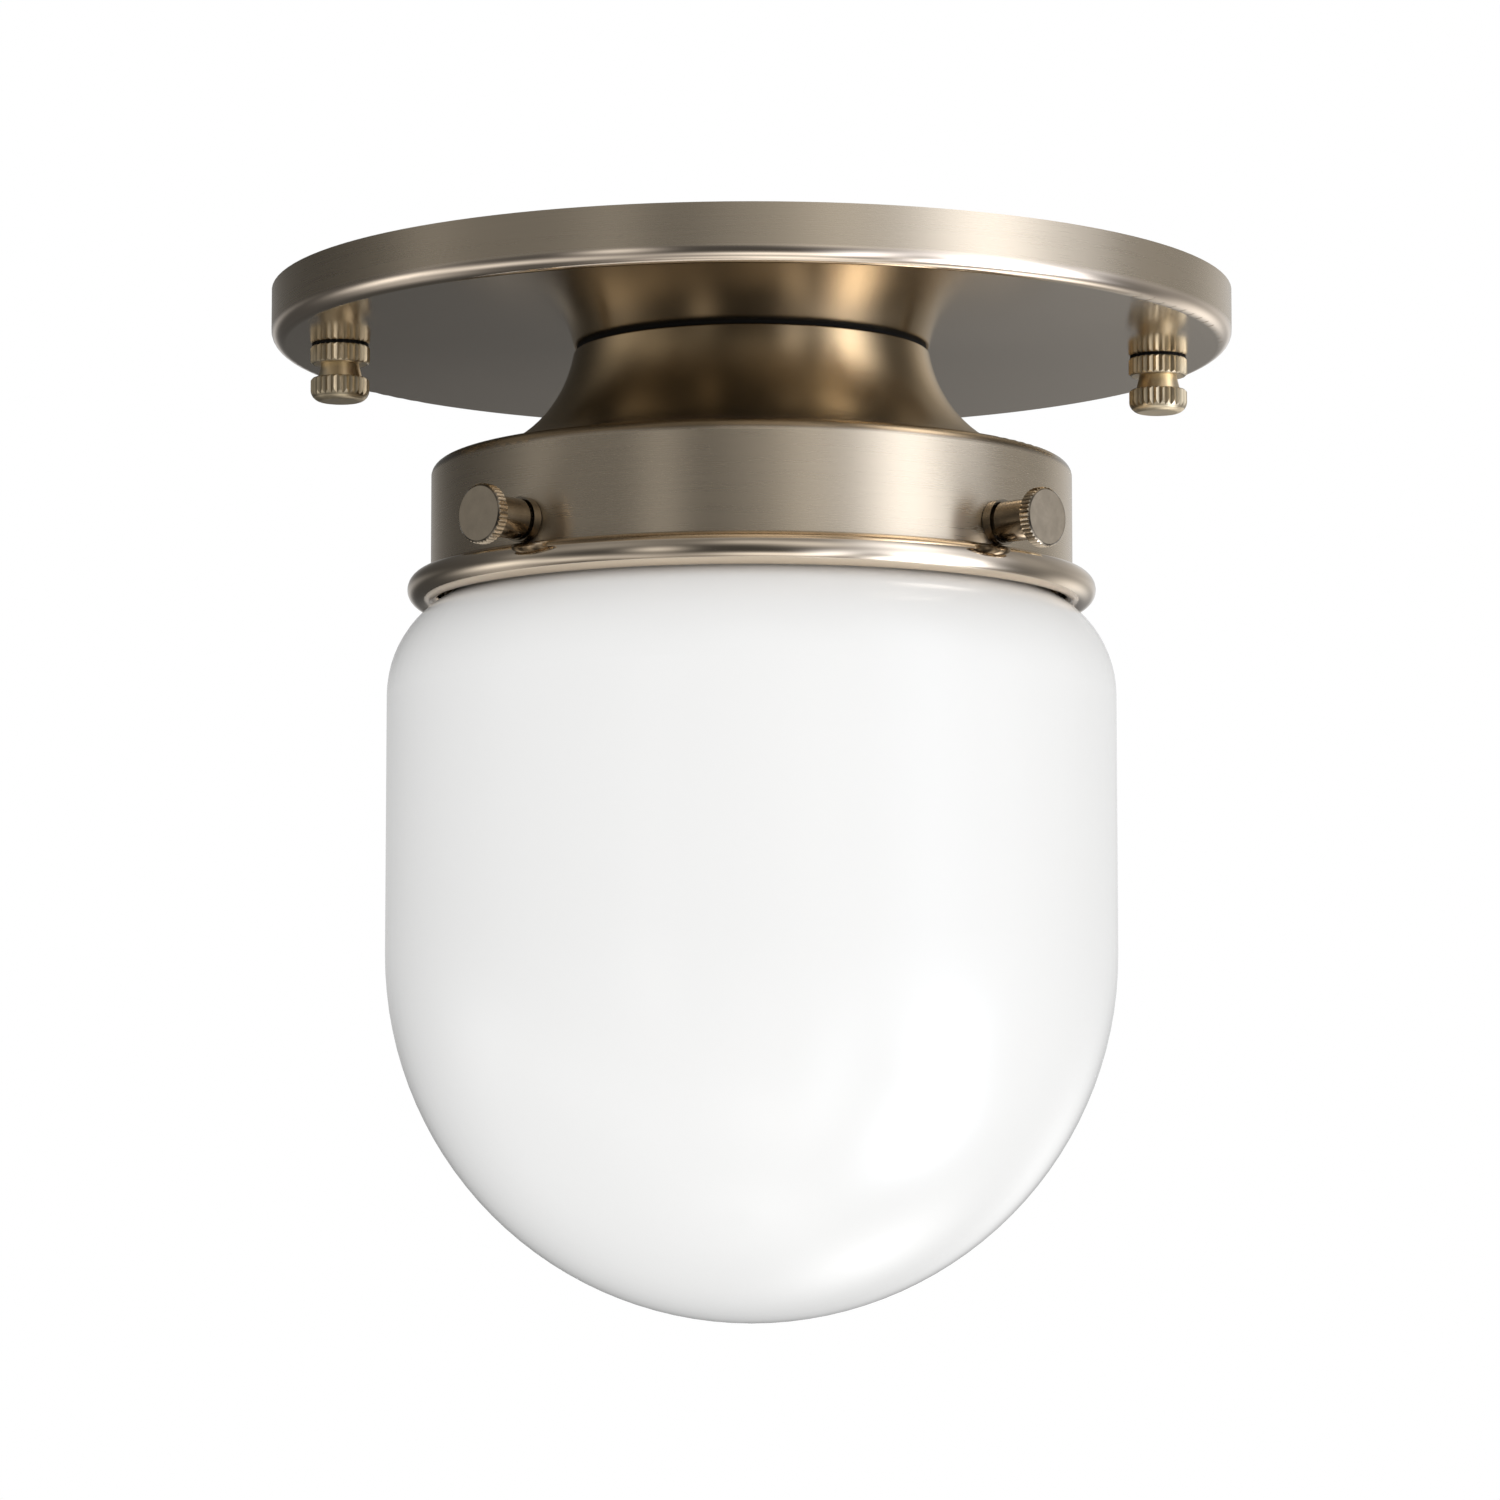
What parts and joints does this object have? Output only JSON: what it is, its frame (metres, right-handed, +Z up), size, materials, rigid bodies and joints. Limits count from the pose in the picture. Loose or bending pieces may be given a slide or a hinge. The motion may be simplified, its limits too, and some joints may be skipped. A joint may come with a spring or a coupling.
{
  "type": "flush mount ceiling light",
  "caption": "Flush ceiling light with a round nickel canopy, a thumbscrew shade holder and a domed opal glass shade around a screw lamp.",
  "frame": {"origin": "on the light's axis, in the plane of the ceiling, midway between the crossbar's box slots", "axes": "+Z points up into the ceiling along the light's axis, +X runs along the crossbar to the right canopy nut"},
  "size_m": [0.1334, 0.1334, 0.1423],
  "materials": {
    "brushed_nickel": "satin brushed nickel plate",
    "lacquered_brass": "bright lacquered brass, knurled",
    "turned_nickel": "nickel plated, turned and knurled",
    "zinc_steel": "zinc plated",
    "plated_steel": "nickel plated thread",
    "bare_brass": "bare brass",
    "green_paint": "green paint",
    "black_fibre": "black fibre",
    "nylon": "natural nylon",
    "porcelain": "white glaze",
    "opal_glass": "glossy opal white",
    "frosted_glass": "frosted white",
    "lamp_base_metal": "rolled aluminium",
    "lamp_insulator_glass": "black vitrite",
    "solder": "dull solder"
  },
  "bodies": {
    "housing": {"canopy": "brushed_nickel", "fitter": "brushed_nickel", "screw_bushes": "turned_nickel", "crossbar": "zinc_steel", "canopy_studs": "zinc_steel", "stud_lock_nuts": "zinc_steel", "canopy_lock_washer": "zinc_steel", "canopy_hex_nut": "zinc_steel", "fitter_washer": "zinc_steel", "fitter_hex_nut": "zinc_steel", "socket_set_screw": "zinc_steel", "socket_cap": "zinc_steel", "neutral_terminal_screw": "plated_steel", "nipple": "bare_brass", "screw_shell": "bare_brass", "centre_contact": "bare_brass", "contact_rivet": "bare_brass", "hot_terminal_screw": "bare_brass", "ground_screw": "green_paint", "neck_gasket": "black_fibre", "nipple_bushing": "nylon", "socket_body": "porcelain"},
    "shade": {"shade": "opal_glass"},
    "lamp_carrier": {"bulb_insulator": "lamp_insulator_glass", "bulb_tip": "solder"},
    "lamp": {"bulb_glass": "frosted_glass", "bulb_base": "lamp_base_metal"},
    "thumbscrew_1_carrier": {"thumbscrew_shank_1": "plated_steel"},
    "thumbscrew_1": {"thumbscrew_head_1": "turned_nickel"},
    "thumbscrew_2_carrier": {"thumbscrew_shank_2": "plated_steel"},
    "thumbscrew_2": {"thumbscrew_head_2": "turned_nickel"},
    "thumbscrew_3_carrier": {"thumbscrew_shank_3": "plated_steel"},
    "thumbscrew_3": {"thumbscrew_head_3": "turned_nickel"},
    "thumbscrew_4_carrier": {"thumbscrew_shank_4": "plated_steel"},
    "thumbscrew_4": {"thumbscrew_head_4": "turned_nickel"},
    "nut_left_carrier": {"nut_washer_left": "black_fibre"},
    "nut_left": {"canopy_nut_left": "lacquered_brass"},
    "nut_right_carrier": {"nut_washer_right": "black_fibre"},
    "nut_right": {"canopy_nut_right": "lacquered_brass"}
  },
  "joints": [
    {"name": "shade_drop", "type": "slide", "parent": "housing", "child": "shade", "axis": [0, 0, -1], "range_m": [0, 0.1]},
    {"name": "lamp_travel", "type": "slide", "parent": "housing", "child": "lamp_carrier", "axis": [0, 0, -1], "range_m": [0, 0.01815]},
    {"name": "lamp_turn", "type": "hinge", "parent": "lamp_carrier", "child": "lamp", "pos_m": [0, 0, -0.05], "axis": [0, 0, -1], "range_deg": [0, 1801]},
    {"name": "thumbscrew_1_travel", "type": "slide", "parent": "housing", "child": "thumbscrew_1_carrier", "axis": [0.7361, 0.6769, 0], "range_m": [0, 0.00318]},
    {"name": "thumbscrew_1_turn", "type": "hinge", "parent": "thumbscrew_1_carrier", "child": "thumbscrew_1", "pos_m": [0.0368, 0.03384, -0.0361], "axis": [0.7361, 0.6769, 0], "range_deg": [0, 1441]},
    {"name": "thumbscrew_2_travel", "type": "slide", "parent": "housing", "child": "thumbscrew_2_carrier", "axis": [-0.6769, 0.7361, 0], "range_m": [0, 0.00318]},
    {"name": "thumbscrew_2_turn", "type": "hinge", "parent": "thumbscrew_2_carrier", "child": "thumbscrew_2", "pos_m": [-0.03384, 0.0368, -0.0361], "axis": [-0.6769, 0.7361, 0], "range_deg": [0, 1441]},
    {"name": "thumbscrew_3_travel", "type": "slide", "parent": "housing", "child": "thumbscrew_3_carrier", "axis": [-0.7361, -0.6769, 0], "range_m": [0, 0.00318]},
    {"name": "thumbscrew_3_turn", "type": "hinge", "parent": "thumbscrew_3_carrier", "child": "thumbscrew_3", "pos_m": [-0.0368, -0.03384, -0.0361], "axis": [-0.7361, -0.6769, 0], "range_deg": [0, 1441]},
    {"name": "thumbscrew_4_travel", "type": "slide", "parent": "housing", "child": "thumbscrew_4_carrier", "axis": [0.6769, -0.7361, 0], "range_m": [0, 0.00318]},
    {"name": "thumbscrew_4_turn", "type": "hinge", "parent": "thumbscrew_4_carrier", "child": "thumbscrew_4", "pos_m": [0.03384, -0.0368, -0.0361], "axis": [0.6769, -0.7361, 0], "range_deg": [0, 1441]},
    {"name": "nut_left_travel", "type": "slide", "parent": "housing", "child": "nut_left_carrier", "axis": [0, 0, -1], "range_m": [0, 0.00556]},
    {"name": "nut_left_turn", "type": "hinge", "parent": "nut_left_carrier", "child": "nut_left", "pos_m": [-0.05715, 0, -0.012], "axis": [0, 0, -1], "range_deg": [0, 2521]},
    {"name": "nut_right_travel", "type": "slide", "parent": "housing", "child": "nut_right_carrier", "axis": [0, 0, -1], "range_m": [0, 0.00556]},
    {"name": "nut_right_turn", "type": "hinge", "parent": "nut_right_carrier", "child": "nut_right", "pos_m": [0.05715, 0, -0.012], "axis": [0, 0, -1], "range_deg": [0, 2521]}
  ],
  "couplings": [
    {"joint": "lamp_turn", "follows": "lamp_travel", "rad_per_m": 1730.9},
    {"joint": "thumbscrew_1_turn", "follows": "thumbscrew_1_travel", "rad_per_m": 7913.3},
    {"joint": "thumbscrew_2_turn", "follows": "thumbscrew_2_travel", "rad_per_m": 7913.3},
    {"joint": "thumbscrew_3_turn", "follows": "thumbscrew_3_travel", "rad_per_m": 7913.3},
    {"joint": "thumbscrew_4_turn", "follows": "thumbscrew_4_travel", "rad_per_m": 7913.3},
    {"joint": "nut_left_turn", "follows": "nut_left_travel", "rad_per_m": 7913.3},
    {"joint": "nut_right_turn", "follows": "nut_right_travel", "rad_per_m": 7913.3}
  ]
}
